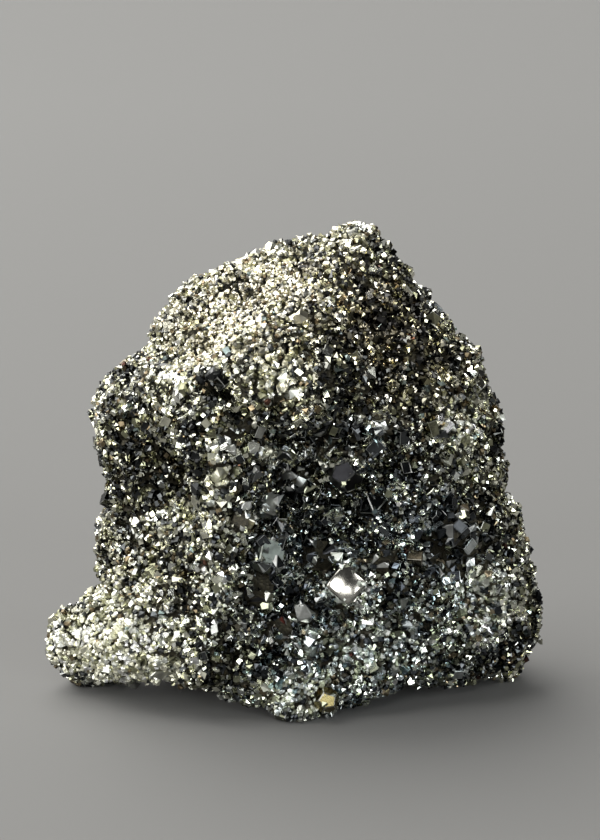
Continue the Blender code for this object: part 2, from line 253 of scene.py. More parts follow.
# How often each colour is picked: a weight everywhere, and weights on what is found at the place. The
# weights on pale paint light, and those on shade paint shade.
COLOUR_WEIGHTS = {
    "pale": {"everywhere": 2.6, "patch": 1.2, "pale": 5.0, "shade": -2.4, "mottle": -1.6},
    "silver": {"everywhere": 1.5, "pale": 1.2, "shade": -0.9},
    "olive": {"everywhere": 1.3, "patch": -0.7, "pale": 0.6},
    "brown": {"everywhere": 0.38, "rust": 0.35},
    "red": {"everywhere": 0.015, "dark": 0.02},
    "teal": {"everywhere": 0.05, "cool": 0.25, "dark": 0.15},
    "dark": {"everywhere": 1.6, "shade": 6.0, "pale": -1.6, "blotch": 3.2},
}
LEAST_WEIGHT = 0.01
# Brown and red are rarer on the larger crystals.
LARGER_SIZES = ("druse", "coarse")
LARGER_WEIGHTS = {"brown": 0.3, "red": 0.4}
# How much of a place's painted shade each size takes on
SHADE_OF_SIZE = {
    "large": 1.0, "druse": 1.0, "coarse": 1.0, "common": 0.8, "fine": 0.3, "fleck": 0.0, "curl": 0.0,
}

# Smooth noise over the lump: size and shift of the patches, the rust, and the blotches with how strong
PATCHES = (3.0, 9.0)
RUST = (2.0, 31.0)
MOTTLE = ((2.2, 53.0, 1.0), (0.9, 71.0, 0.6))
BLOTCH_PALE_CUT = 0.6
MOTTLE_SHADE = 0.75
MOTTLE_MOST = 0.8
MOTTLE_PALE_CUT = 0.5

# Each crystal's colour varies, and is lifted on the pale places: painted light. Surfaces that face up and
# to the left, where the main lamps are, are paler: painted light as well.
COLOUR_SPREAD = (0.75, 1.2)
COLOUR_RANGE = (0.02, 0.95)
PALE_LIFT = 0.42
PALE_SLOPE = 0.5
PALE_WAY = (-0.40, -0.15, 0.90)
PALE_FACING = 0.45
PALE_FACING_SPREAD = 0.35

# Places with a colour cast, as ellipsoids: centre, radii and cast
TINT_PLACES = {
    "low_right": ((7.0, -11.0, 9.0), (17.0, 13.0, 17.0), (0.96, 1.03, 1.16)),
    "crown": ((-1.0, -3.0, 32.0), (16.0, 12.0, 9.0), (1.035, 0.985, 0.96)),
    "upper_right": ((9.0, -5.0, 29.0), (7.0, 6.0, 8.0), (1.04, 0.985, 0.92)),
}

# Roughness of the faces: the least, the spread with its curve, and what pale places and grains add
GLOSS_LEAST = 0.05
GLOSS_SPREAD = 0.30
GLOSS_CURVE = (1.6, 5.0)
PALE_GLOSS = 0.14
PALE_GLOSS_SPREAD = 0.26
GRAIN_GLOSS = 0.12

# Bevelled edges: their colour, a pale painted highlight that partly stands for worn-off tarnish, the most
# they take on of it, and their roughness
EDGE_HIGHLIGHT = (0.56, 0.57, 0.55)
EDGE_HIGHLIGHT_MOST = 0.9
EDGE_GLOSS = 0.30

# The crystals' stain, its scale per metre, and their growth lines: width and depth in millimetres
STAIN_SCALE = 1400.0
STAIN_DETAIL = 4.0
STAIN_FROM = (0.35, 0.65)
STAIN_TO = (0.66, 1.12)
LINE_STRETCH = 0.12
LINE_DETAIL = 2.0
CRUST_LINES = (0.07, 0.002)
DRUSE_LINES = (0.10, 0.009)
# A crystal's growth lines start at a random place, and its faces fill one tile of the bake map.
LINE_SHIFT = 50
TILE_REACH = 0.42

# The core's grain, its scale per metre, and its relief in millimetres
CORE_GRAIN = 4500.0
CORE_DARK = (0.012, 0.011, 0.008, 1)
CORE_PALE = (0.07, 0.062, 0.04, 1)
CORE_BUMP = 0.6
CORE_RELIEF = 0.1
CORE_METALLIC = 0.6
CORE_ROUGHNESS = 0.5

# Where the crust is cut into pieces
CROWN_HEIGHT = 27
FRONT_CUTS = (-5, 7)
REAR_CUT = 1

# The floor is a wide shallow bowl: radius, flat middle and rim height in metres.
FLOOR_RADIUS = 6.0
FLOOR_FLAT = 1.2
FLOOR_RIM = 0.85
FLOOR_RINGS = 40
FLOOR_SPOKES = 96
FLOOR_WELD = 1e-5
FLOOR_COLOUR = (0.15, 0.149, 0.146, 1)
FLOOR_ROUGHNESS = 0.8

# The dim room, with a soft glow high behind the left
GLOW_DIRECTION = (-0.5, 0.5, 0.72)
GLOW_EDGE = 0.3
GLOW_LEVEL = 1.4
ROOM_LEVEL = 0.03
ROOM_COLOUR = (1.0, 0.99, 0.97, 1)

# Far round softboxes: the direction each shines from, its width in degrees, strength and colour
SOFTBOXES = {
    "key": ((-0.45, 0.55, 0.75), 60.0, 2.35, (1.0, 0.99, 0.94)),
    "top_left": ((-0.5, -0.12, 0.85), 46.0, 1.1, (1.0, 0.99, 0.96)),
    "left": ((-0.9, -0.45, 0.3), 19.0, 0.75, (1.0, 0.99, 0.96)),
    "front_left": ((-0.5, -0.8, 0.3), 18.0, 0.64, (1.0, 1.0, 0.98)),
    "low_left": ((-0.3, -0.95, 0.18), 14.0, 0.27, (1.0, 1.0, 0.98)),
    "front_high": ((0.05, -0.85, 0.6), 14.0, 0.4, (1.0, 1.0, 1.0)),
    "front_low": ((0.02, -0.98, 0.2), 14.0, 0.36, (1.0, 1.0, 1.0)),
    "low_right": ((0.3, -0.95, 0.18), 14.0, 0.38, (0.96, 1.0, 1.0)),
    "front_right": ((0.5, -0.82, 0.3), 17.0, 0.6, (0.95, 1.0, 1.0)),
    "right": ((0.95, -0.3, 0.3), 15.0, 0.4, (0.93, 0.99, 1.0)),
}

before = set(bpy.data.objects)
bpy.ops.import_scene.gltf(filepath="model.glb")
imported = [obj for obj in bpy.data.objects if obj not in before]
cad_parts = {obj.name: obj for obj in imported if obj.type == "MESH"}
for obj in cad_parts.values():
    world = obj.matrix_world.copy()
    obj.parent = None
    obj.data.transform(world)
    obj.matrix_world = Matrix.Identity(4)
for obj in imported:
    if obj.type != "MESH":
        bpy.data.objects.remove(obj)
cad_low, cad_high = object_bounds()
box_low = np.array(cad_low) / MM + BOX_MARGIN
box_high = np.array(cad_high) / MM - BOX_MARGIN
rng = np.random.default_rng(SEED)


# The solid's surface
def cad_surface(node):
    """(corner positions, triangles) of a CAD node, with equal corners merged."""
    mesh = node.data
    mesh.calc_loop_triangles()
    points = np.empty(len(mesh.vertices) * 3)
    mesh.vertices.foreach_get("co", points)
    triangles = np.empty(len(mesh.loop_triangles) * 3, dtype=np.int64)
    mesh.loop_triangles.foreach_get("vertices", triangles)
    points = points.reshape(-1, 3) / MM
    keys = np.round(points * KEYS_PER_MM).astype(np.int64)
    _, first, index = np.unique(keys, axis=0, return_index=True, return_inverse=True)
    return points[first], index.reshape(-1)[triangles].reshape(-1, 3)


def triangle_frames(points, triangles):
    """(unit normals, areas) of the triangles."""
    a, b, c = (points[triangles[:, k]] for k in range(3))
    cross = np.cross(b - a, c - a)
    length = np.linalg.norm(cross, axis=1)
    return cross / np.maximum(length, TINY)[:, None], length / 2


def corner_sums(values):
    """Each corner's sum of the values of the triangles around it."""
    sums = np.zeros_like(points)
    for k in range(3):
        np.add.at(sums, triangles[:, k], values)
    return sums


def unit(vectors):
    """The vectors at length one."""
    return vectors / np.maximum(np.linalg.norm(vectors, axis=1), TINY)[:, None]


def smooth_normals(rounds):
    """Unit normals at the corners, averaged over their neighbours a few times."""
    smooth = corner_sums(normals * areas[:, None])
    for _ in range(rounds):
        smooth = unit(corner_sums(smooth[triangles].sum(axis=1)))
    return smooth


points, triangles = cad_surface(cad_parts["pyrite"])
normals, areas = triangle_frames(points, triangles)
even_normals = smooth_normals(NORMAL_ROUNDS)
rest_spot = (normals[:, 2] < REST_FACING) & (points[triangles][:, :, 2].max(axis=1) < REST_HEIGHT)


# Crystal forms
def hull_form(corners, bevel=0.0, steps=()):
    """(corners, faces, which faces are bevelled edges) of the convex hull of some corners.

    The bevel wears its edges. Each step, an inset, a rise and a sideways shift, makes its main faces
    a growth terrace.
    """
    bm = bmesh.new()
    for corner in corners:
        bm.verts.new(corner)
    bmesh.ops.convex_hull(bm, input=bm.verts)
    loose = [vert for vert in bm.verts if not vert.link_faces]
    bmesh.ops.delete(bm, geom=loose, context="VERTS")
    bmesh.ops.dissolve_limit(bm, angle_limit=FLAT_ANGLE, verts=bm.verts, edges=bm.edges)
    if bevel:
        bmesh.ops.bevel(bm, geom=bm.edges, offset=bevel, segments=1, affect="EDGES")
    bmesh.ops.recalc_face_normals(bm, faces=bm.faces)
    bm.normal_update()
    main = [face for face in bm.faces if face.calc_area() > MAIN_FACE]
    flat = [face.normal.copy() for face in main]
    for inset, rise, shift in steps:
        bmesh.ops.inset_individual(bm, faces=main, thickness=inset, depth=rise)
        for index, face in enumerate(main):
            edge = face.verts[index % len(face.verts)].co - face.calc_center_median()
            for vert in face.verts:
                vert.co += edge.normalized() * shift
    bmesh.ops.recalc_face_normals(bm, faces=bm.faces)
    bm.normal_update()
    bm.verts.index_update()
    corners = np.array([vert.co[:] for vert in bm.verts])
    faces = [[vert.index for vert in face.verts] for face in bm.faces]
    bevelled = [bool(bevel) and all(face.normal.dot(way) < BEVEL_FACING for way in flat) for face in bm.faces]
    bm.free()
    return corners, faces, np.array(bevelled)


def curl_form(turn):
    """A thin curved ridge that tapers to both ends and lies in the XY plane. Turn is in degrees."""
    corners = []
    radius = 0.5 / math.sin(math.radians(turn) / 2)
    for part in range(CURL_PARTS + 1):
        angle = math.radians(turn) * (part / CURL_PARTS - 0.5)
        thick = CURL_THICKNESS * math.sin(math.pi * part / CURL_PARTS)
        middle = Vector((radius * math.sin(angle), radius * (math.cos(angle) - 1), 0))
        across = Vector((math.sin(angle), math.cos(angle), 0))
        ring = CURL_SECTION if 0 < part < CURL_PARTS else [(0, 0)]
        corners += [tuple(middle + (across * a + Vector((0, 0, b))) * thick) for a, b in ring]
    last = len(corners) - 1
    faces = [[0, 1 + k, 1 + (k + 1) % 3] for k in range(3)]
    for part in range(CURL_PARTS - 2):
        a = 1 + part * 3
        faces += [[a + k, a + 3 + k, a + 3 + (k + 1) % 3, a + (k + 1) % 3] for k in range(3)]
    faces += [[last, last - 3 + (k + 1) % 3, last - 3 + k] for k in range(3)]
    bm = bmesh.new()
    verts = [bm.verts.new(corner) for corner in corners]
    for face in faces:
        bm.faces.new([verts[k] for k in face])
    bmesh.ops.recalc_face_normals(bm, faces=bm.faces)
    bm.verts.index_update()
    faces = [[vert.index for vert in face.verts] for face in bm.faces]
    bm.free()
    return np.array(corners), faces, np.zeros(len(faces), dtype=bool)


def box_corners(half):
    """The corners of a box with these half sizes."""
    return [(x * half[0], y * half[1], z * half[2]) for x, y, z in product(SIGNS, repeat=3)]


def octahedron_corners():
    """The six corners of an octahedron."""
    reach = OCTAHEDRON_REACH
    return [tuple(reach * side * (k == axis) for k in range(3)) for axis in range(3) for side in SIGNS]


def cuboctahedron_corners():
    """The middles of a cube's twelve edges."""
    spots = [(a * CUBOCTAHEDRON_REACH, b * CUBOCTAHEDRON_REACH) for a, b in product(SIGNS, repeat=2)]
    corners = [(0, a, b) for a, b in spots]
    corners += [(a, 0, b) for a, b in spots]
    corners += [(a, b, 0) for a, b in spots]
    return corners


def pyritohedron_corners():
    """The corners of the twelve-faced form that pyrite is known for."""
    corners = box_corners((PYRITOHEDRON_CUBE,) * 3)
    for a, b in product(SIGNS, repeat=2):
        long, short = a * PYRITOHEDRON_LONG, b * PYRITOHEDRON_SHORT
        corners += [(0, long, short), (long, short, 0), (short, 0, long)]
    return corners


def dome_corners():
    """Points on a cube whose six faces bulge a little."""
    grid = np.linspace(-1, 1, DOME_GRID).tolist()
    corners = []
    for axis, side, u, v in product(range(3), SIGNS, grid, grid):
        rise = CUBE_HALF + DOME_RISE * (1 - (u * u + v * v) / 2)
        corners.append(np.roll((side * rise, CUBE_HALF * u, CUBE_HALF * v), axis).tolist())
    return corners


def irregular_corners(kind, draws):
    """Random corners in all directions, squashed along the axes."""
    corners = draws.normal(size=(kind["corners"], 3))
    corners /= np.linalg.norm(corners, axis=1)[:, None]
    corners *= draws.uniform(*kind["reach"], size=(kind["corners"], 1))
    return (corners * kind["squash"]).tolist()


def crystal_forms():
    """The crystal forms by name, each about one across."""
    cube = box_corners((CUBE_HALF,) * 3)
    octahedron = octahedron_corners()
    pyritohedron = pyritohedron_corners()
    forms = {
        "cube": hull_form(cube),
        "worn_cube": hull_form(cube, EDGE_WEAR),
        "slab": hull_form(box_corners(SLAB_HALF), EDGE_WEAR),
        "octahedron": hull_form(octahedron),
        "worn_octahedron": hull_form(octahedron, EDGE_WEAR),
        "cuboctahedron": hull_form(cuboctahedron_corners()),
        "pyritohedron": hull_form(pyritohedron),
        "worn_pyritohedron": hull_form(pyritohedron, EDGE_WEAR),
    }
    for index, steps in enumerate(GROWTH_STEPS):
        forms[f"stepped_{index}"] = hull_form(cube, EDGE_WEAR, steps)
    forms[SMOOTH_FORM] = hull_form(dome_corners())
    for index, turn in enumerate(CURL_TURNS):
        forms[f"curl_{index}"] = curl_form(turn)
    draws = np.random.default_rng(FORM_SEED)
    for name, kind in IRREGULAR_FORMS.items():
        for index in range(kind["count"]):
            forms[f"{name}_{index}"] = hull_form(irregular_corners(kind, draws), kind["wear"])
    return forms


def face_plans(corners, faces):
    """Each face's corners in its own plane, with the first axis along the face's first edge."""
    plans = []
    for face in faces:
        ring = corners[face]
        along = ring[1] - ring[0]
        along /= np.linalg.norm(along)
        across = np.cross(np.cross(along, ring[2] - ring[0]), along)
        across /= np.linalg.norm(across)
        plans.append(np.stack([(ring - ring[0]) @ along, (ring - ring[0]) @ across], 1))
    return np.concatenate(plans)


def crystal_turns(up, names):
    """A rotation matrix for each crystal: random, or with the form's Z nearly along up."""
    count = len(up)
    level = (rng.random(count) < LEVEL_SHARE) | (names == "curl")
    tilt = np.where(level, LEVEL_TILT, 1)
    axis = np.where(level[:, None], up, 0) + rng.normal(size=(count, 3)) * tilt[:, None]
    axis /= np.linalg.norm(axis, axis=1)[:, None]
    side = np.cross(axis, rng.normal(size=(count, 3)))
    side /= np.linalg.norm(side, axis=1)[:, None]
    return np.stack([side, np.cross(axis, side), axis], 2)


def turned(degrees):
    """The rotation matrix of turns about X, then Y, then Z."""
    spin = Matrix.Identity(3)
    for angle, axis in zip(degrees, "XYZ"):
        spin = Matrix.Rotation(math.radians(angle), 3, axis) @ spin
    return np.array(spin)


# Where the crystals stand
def sample_surface(count, weights):
    """Random places on the triangles, by weight and area: (positions, normals, even normals)."""
    shares = areas * weights
    chosen = rng.choice(len(triangles), size=count, p=shares / shares.sum())
    u = np.sqrt(rng.random(count))
    v = rng.random(count)
    a, b, c = (points[triangles[chosen, k]] for k in range(3))
    place = a * (1 - u)[:, None] + b * (u * (1 - v))[:, None] + c * (u * v)[:, None]
    return place, normals[chosen], even_normals[triangles[chosen]].mean(axis=1)


def within(place, centre, radii):
    """1 in the middle of an ellipsoid, falling to 0 at its edge."""
    distance = np.linalg.norm((place - np.array(centre)) / np.array(radii), axis=1)
    return np.clip(FADE * (1 - distance), 0, 1)


def strength(place, spots):
    """How strongly some ellipsoids hold each place, from 0 to 1."""
    return np.max([amount * within(place, centre, radii) for centre, radii, amount in spots], axis=0)


def field(place, scale, shift):
    """A smooth random value from -1 to 1 at each place."""
    offset = Vector((shift, 0, 0))
    return np.array([noise.noise(Vector(row) / scale + offset) for row in place.tolist()])


def thin_out(place, spacing, always):
    """Which places keep their spacing from those before them. Spacings go from coarse to fine.

    The first few are always kept.
    """
    cells = {}
    kept = []
    for index, (x, y, z) in enumerate(place.tolist()):
        gap = spacing[index]
        clear = True
        for ox, oy, oz, other in cells.get((int(x // CELL), int(y // CELL), int(z // CELL)), ()):
            reach = (gap + other) / 2
            if (x - ox) ** 2 + (y - oy) ** 2 + (z - oz) ** 2 < reach * reach:
                clear = False
                break
        if not clear and index >= always:
            continue
        kept.append(index)
        spans = [range(int((v - gap) // CELL), int((v + gap) // CELL) + 1) for v in (x, y, z)]
        for cell in product(*spans):
            cells.setdefault(cell, []).append((x, y, z, gap))
    return np.array(kept)


def on_large(place, large):
    """Which places are on the faces of the larger single crystals, which stay bare."""
    bare = np.zeros(len(place), dtype=bool)
    for centre, (_, across, turns, *_) in zip(large, LARGE_CRYSTALS):
        local = (place - centre) @ turned(turns) / across
        bare |= (np.abs(local).max(axis=1) < BARE_HALF) & (np.linalg.norm(local, axis=1) < BARE_REACH)
    return bare


def spacings(place, name):
    """A spacing for each place of one size of crystal, partly at random and partly in patches."""
    low, high = SIZES[name]["spacing"]
    patch = 0.5 + 0.5 * field(place, *SPACING_PATCH)
    share = rng.random(len(place)) * SPACING_RANDOM + patch * SPACING_PATCHY - SPACING_DROP
    spacing = low + (high - low) * np.clip(share, 0, 1)
    if name in ("coarse", "common"):
        spacing *= 1 - FINE_SHRINK * strength(place, FINE_PLACES.values())
    return spacing


def stand_crystals():
    """Every crystal's place, normal, even normal, spacing and size name, coarse to fine."""
    middles = points[triangles].mean(axis=1)
    coarse = strength(middles, [PAINTED_SHADE_PLACES[name] for name in COARSE_PLACES])
    large = np.array([row[0] for row in LARGE_CRYSTALS]) + LARGE_SHIFT
    upright = np.tile((0.0, 0.0, 1.0), (len(large), 1))
    room = np.array([row[1] for row in LARGE_CRYSTALS]) * LARGE_SPACING
    blocks = [(large, upright, upright, room, np.full(len(large), "large"))]
    for name, size in SIZES.items():
        weights = (~rest_spot).astype(float)
        if name == "druse":
            weights *= (coarse > DRUSE_SHADE) & (strength(middles, PAINTED_GLINT_PLACES.values()) < DRUSE_GLINT)
        place, normal, up = sample_surface(size["tries"], weights)
        blocks.append((place, normal, up, spacings(place, name), np.full(len(place), name)))
    columns = [np.concatenate(column) for column in zip(*blocks)]
    place, names = columns[0], columns[4]
    bare = on_large(place, large) & (names != "large")
    columns = [column[~bare] for column in columns]
    kept = thin_out(columns[0], columns[3].tolist(), len(large))
    blocks = [[column[kept] for column in columns]]
    weights = (~rest_spot) * strength(middles, [PAINTED_SHADE_PLACES[name] for name in OVERGROWN_PLACES])
    for name, size in OVERGROWTH.items():
        place, normal, up = sample_surface(size["count"], weights)
        bare = on_large(place, large)
        wide = rng.uniform(*size["width"], size=len(place)) / WIDTH_PER_SPACING
        block = (place, normal, up, wide, np.full(len(place), name))
        blocks.append([column[~bare] for column in block])
    return [np.concatenate(column) for column in zip(*blocks)]


place, normal, up, spacing, size_name = stand_crystals()
count = len(place)
# Painted light and shade for each crystal: dark is painted shade, pale is painted light from the pale
# places and from facing the lamps, and the glint clusters are painted highlights.
painted_glint = strength(place, PAINTED_GLINT_PLACES.values())
dark = strength(place, PAINTED_SHADE_PLACES.values()) * (1 - painted_glint)
way = np.array(PALE_WAY) / np.linalg.norm(PALE_WAY)
facing = np.clip((up @ way - PALE_FACING) / PALE_FACING_SPREAD, 0, 1)
pale = np.maximum(strength(place, PAINTED_LIGHT_PLACES.values()), PALE_SLOPE * facing) * (1 - dark)
pale = np.maximum(pale, painted_glint)


# What each crystal is like
def crystal_colours():
    """A base colour for each crystal, at random and from where it stands, with painted light and shade."""
    mottle = sum(field(place, size, shift) * amount for size, shift, amount in MOTTLE)
    found = {
        "everywhere": np.ones(count),
        "patch": field(place, *PATCHES),
        "rust": np.abs(field(place, *RUST)),
        "pale": pale,
        "dark": dark,
        "shade": dark * np.array([SHADE_OF_SIZE[name] for name in size_name]),
        "cool": within(place, *TINT_PLACES["low_right"][:2]),
        "mottle": mottle,
        "blotch": np.maximum(mottle, 0) * (1 - BLOTCH_PALE_CUT * pale),
    }
    larger = np.isin(size_name, LARGER_SIZES)
    weights = {}
    for name in PALETTE:
        weights[name] = sum(found[key] * amount for key, amount in COLOUR_WEIGHTS[name].items())
        weights[name] = weights[name] * np.where(larger, LARGER_WEIGHTS.get(name, 1), 1)
    # Fewer near-black crystals on the crown's slope: painted light
    weights["dark"] = weights["dark"] * (1 - FINE_DARK_CUT * strength(place, FINE_PLACES.values()))
    table = np.stack(list(weights.values()), 1).clip(LEAST_WEIGHT)
    table = np.cumsum(table / table.sum(1)[:, None], 1)
    pick = (rng.random(count)[:, None] > table).sum(1).clip(0, len(PALETTE) - 1)
    colour = np.array(list(PALETTE.values()))[pick] * rng.uniform(*COLOUR_SPREAD, size=(count, 1))
    # Painted light: lifted on the pale places
    colour *= 1 + PALE_LIFT * pale[:, None]
    blotches = (mottle * (1 - MOTTLE_PALE_CUT * pale)).clip(-MOTTLE_MOST, MOTTLE_MOST)
    colour *= 1 - MOTTLE_SHADE * blotches[:, None]
    for centre, radii, tint in TINT_PLACES.values():
        colour *= 1 + (np.array(tint) - 1) * within(place, centre, radii)[:, None]
    return np.clip(colour, *COLOUR_RANGE)


forms = crystal_forms()
form_names = list(forms)
form_of = np.zeros(count, dtype=int)
sunk = np.zeros(count)
for name, shares in FORM_SHARES.items():
    mine = np.nonzero(size_name == name)[0]
    chances = np.array([shares.get(form, 0.0) for form in form_names])
    form_of[mine] = rng.choice(len(form_names), size=len(mine), p=chances / chances.sum())
    sunk[mine] = rng.uniform(*(SIZES | OVERGROWTH)[name]["sunk"], size=len(mine))
grainy = np.nonzero((size_name == "common") & (rng.random(count) < GRAIN_SHARE * pale))[0]
grain_forms = IRREGULAR_FORMS["grain"]["count"]
form_of[grainy] = form_names.index("grain_0") + rng.integers(grain_forms, size=len(grainy))
width = spacing * WIDTH_PER_SPACING * rng.uniform(*WIDTH_SPREAD, size=count)
spin = crystal_turns(up, size_name)
stretch = rng.uniform(*STRETCH_SPREAD, size=(count, 3))
colour = crystal_colours()
gloss = GLOSS_LEAST + GLOSS_SPREAD * rng.beta(*GLOSS_CURVE, size=count)
gloss += (PALE_GLOSS + PALE_GLOSS_SPREAD * rng.random(count)) * pale
gloss[grainy] += GRAIN_GLOSS
centre = place - normal * (sunk * width)[:, None]
# How much of the pale painted highlight each crystal's bevelled edges take on
edge_highlight_share = EDGE_HIGHLIGHT_MOST * rng.random(count)

# The larger single crystals, which come first, are as listed.
for index, (_, across, turns, form, tint, shine) in enumerate(LARGE_CRYSTALS):
    centre[index] = place[index]
    width[index] = across
    spin[index] = turned(turns)
    stretch[index] = 1.0
    colour[index] = tint
    gloss[index] = shine
    form_of[index] = form_names.index(form)

# The druse, the larger crystals and what grows on them have flat faces. The others are a little bent.
clean = np.isin(size_name, ("druse", "large", *OVERGROWTH))


# Building a piece of the crust
def add_crystals(rows, number, chosen, mine):
    """Adds the crystals of one form to a piece's rows, with their colour, gloss and maps."""
    corners, faces, bevelled = forms[form_names[number]]
    local = corners[None] * stretch[mine][:, None, :]
    bend = np.random.default_rng(number + BEND_SEED).normal(size=local.shape)
    local += bend * (BEND * ~clean[mine])[:, None, None]
    world = np.einsum("nij,nkj->nki", spin[mine], local) * width[mine][:, None, None]
    world += centre[mine][:, None, :]
    world += np.maximum(0, box_low - world.min(axis=1))[:, None, :]
    world -= np.maximum(0, world.max(axis=1) - box_high)[:, None, :]

    starts = sum(map(len, rows["corners"])) + np.arange(len(mine)) * len(corners)
    loops = np.concatenate([np.array(face) for face in faces])
    sizes = np.array([len(face) for face in faces])

    side = math.ceil(math.sqrt(len(chosen)))
    tile = np.searchsorted(chosen, mine)
    cell = np.stack([tile % side, tile // side], 1)
    angle = np.concatenate([np.arange(size) / size * 2 * math.pi for size in sizes])
    ring = np.stack([0.5 + TILE_REACH * np.cos(angle), 0.5 + TILE_REACH * np.sin(angle)], 1)

    smooth = form_names[number] == SMOOTH_FORM
    plan = face_plans(corners, faces)[None] * width[mine][:, None, None]
    if smooth:
        plan = np.zeros_like(plan)
    shift = np.random.default_rng(number).uniform(0, LINE_SHIFT, size=(len(mine), 1, 2))
    # The bevelled edge faces take on a pale painted highlight, partly standing for worn-off tarnish.
    share = edge_highlight_share[mine][:, None, None] * bevelled[None, :, None]
    tint = colour[mine][:, None, :] * (1 - share) + np.array(EDGE_HIGHLIGHT) * share
    shine = np.where(bevelled[None, :], EDGE_GLOSS, gloss[mine][:, None])

    rows["corners"].append(world.reshape(-1, 3))
    rows["loops"].append((starts[:, None] + loops[None]).reshape(-1))
    rows["sizes"].append(np.tile(sizes, len(mine)))
    rows["tile"].append(((cell[:, None, :] + ring[None]) / side).reshape(-1, 2))
    rows["plan"].append((plan + shift).reshape(-1, 2))
    rows["tint"].append(tint.reshape(-1, 3))
    rows["gloss"].append(shine.reshape(-1))
    rows["smooth"].append(np.full(len(faces) * len(mine), smooth))


def build_piece(name, chosen, material):
    """One mesh of many crystals. Each face carries its crystal's colour and gloss."""
    rows = {key: [] for key in ("corners", "loops", "sizes", "tile", "plan", "tint", "gloss", "smooth")}
    for number in range(len(form_names)):
        mine = chosen[form_of[chosen] == number]
        if len(mine):
            add_crystals(rows, number, chosen, mine)
    rows = {key: np.concatenate(blocks) for key, blocks in rows.items()}
    sizes = rows["sizes"]
    mesh = bpy.data.meshes.new(name)
    mesh.vertices.add(len(rows["corners"]))
    mesh.vertices.foreach_set("co", (rows["corners"] * MM).reshape(-1))
    mesh.loops.add(len(rows["loops"]))
    mesh.loops.foreach_set("vertex_index", rows["loops"].astype(np.int32))
    mesh.polygons.add(len(sizes))
    mesh.polygons.foreach_set("loop_start", np.concatenate([[0], np.cumsum(sizes)[:-1]]).astype(np.int32))
    mesh.update(calc_edges=True)
    mesh.polygons.foreach_set("use_smooth", rows["smooth"])
    for layer, key in (("OFBake", "tile"), ("growth", "plan")):
        uv = mesh.uv_layers.new(name=layer)
        uv.data.foreach_set("uv", rows[key].reshape(-1).astype(np.float32))
    tint = mesh.attributes.new("tint", "FLOAT_COLOR", "FACE")
    rgba = np.concatenate([rows["tint"], np.ones((len(sizes), 1))], axis=1)
    tint.data.foreach_set("color", rgba.reshape(-1).astype(np.float32))
    shine = mesh.attributes.new("gloss", "FLOAT", "FACE")
    shine.data.foreach_set("value", rows["gloss"].astype(np.float32))
    mesh.validate()
    obj = bpy.data.objects.new(name, mesh)
    bpy.context.scene.collection.objects.link(obj)
    mesh.materials.append(material)
    return obj


# Materials
def new_material(name):
    """(material, its node tree, its Principled shader)."""
    material = bpy.data.materials.new(name)
    material.use_nodes = True
    tree = material.node_tree
    return material, tree, tree.nodes["Principled BSDF"]


def crystal_material(name, line_width, line_depth):
    """Metallic crystal faces: each crystal's own colour and gloss, a stain, and growth lines."""
    material, tree, shader = new_material(name)
    nodes, links = tree.nodes, tree.links
    tint = nodes.new("ShaderNodeAttribute")
    tint.attribute_name = "tint"
    shine = nodes.new("ShaderNodeAttribute")
    shine.attribute_name = "gloss"
    where = nodes.new("ShaderNodeTexCoord")
    stain = nodes.new("ShaderNodeTexNoise")
    stain.inputs["Scale"].default_value = STAIN_SCALE
    stain.inputs["Detail"].default_value = STAIN_DETAIL
    links.new(where.outputs["Object"], stain.inputs["Vector"])
    fade = nodes.new("ShaderNodeMapRange")
    fade.inputs["From Min"].default_value = STAIN_FROM[0]
    fade.inputs["From Max"].default_value = STAIN_FROM[1]
    fade.inputs["To Min"].default_value = STAIN_TO[0]
    fade.inputs["To Max"].default_value = STAIN_TO[1]
    links.new(stain.outputs["Fac"], fade.inputs["Value"])
    stained = nodes.new("ShaderNodeVectorMath")
    stained.operation = "SCALE"
    links.new(tint.outputs["Color"], stained.inputs[0])
    links.new(fade.outputs["Result"], stained.inputs["Scale"])
    links.new(stained.outputs["Vector"], shader.inputs["Base Color"])
    links.new(shine.outputs["Fac"], shader.inputs["Roughness"])

    plan = nodes.new("ShaderNodeUVMap")
    plan.uv_map = "growth"
    narrow = nodes.new("ShaderNodeMapping")
    narrow.inputs["Scale"].default_value = (LINE_STRETCH / line_width, 1 / line_width, 1)
    links.new(plan.outputs["UV"], narrow.inputs["Vector"])
    lines = nodes.new("ShaderNodeTexNoise")
    lines.inputs["Scale"].default_value = 1.0
    lines.inputs["Detail"].default_value = LINE_DETAIL
    links.new(narrow.outputs["Vector"], lines.inputs["Vector"])
    bump = nodes.new("ShaderNodeBump")
    bump.inputs["Strength"].default_value = 1.0
    bump.inputs["Distance"].default_value = line_depth * MM
    links.new(lines.outputs["Fac"], bump.inputs["Height"])
    links.new(bump.outputs["Normal"], shader.inputs["Normal"])
    shader.inputs["Metallic"].default_value = 1.0
    return material


def core_material():
    """The dark mass between the crystals."""
    material, tree, shader = new_material("pyrite_core")
    where = tree.nodes.new("ShaderNodeTexCoord")
    grain = tree.nodes.new("ShaderNodeTexVoronoi")
    grain.inputs["Scale"].default_value = CORE_GRAIN
    tree.links.new(where.outputs["Object"], grain.inputs["Vector"])
    ramp = tree.nodes.new("ShaderNodeValToRGB")
    ramp.color_ramp.elements[0].color = CORE_DARK
    ramp.color_ramp.elements[1].color = CORE_PALE
    tree.links.new(grain.outputs["Color"], ramp.inputs["Fac"])
    tree.links.new(ramp.outputs["Color"], shader.inputs["Base Color"])
    bump = tree.nodes.new("ShaderNodeBump")
    bump.inputs["Strength"].default_value = CORE_BUMP
    bump.inputs["Distance"].default_value = CORE_RELIEF * MM
    tree.links.new(grain.outputs["Distance"], bump.inputs["Height"])
    tree.links.new(bump.outputs["Normal"], shader.inputs["Normal"])
    shader.inputs["Metallic"].default_value = CORE_METALLIC
    shader.inputs["Roughness"].default_value = CORE_ROUGHNESS
    return material


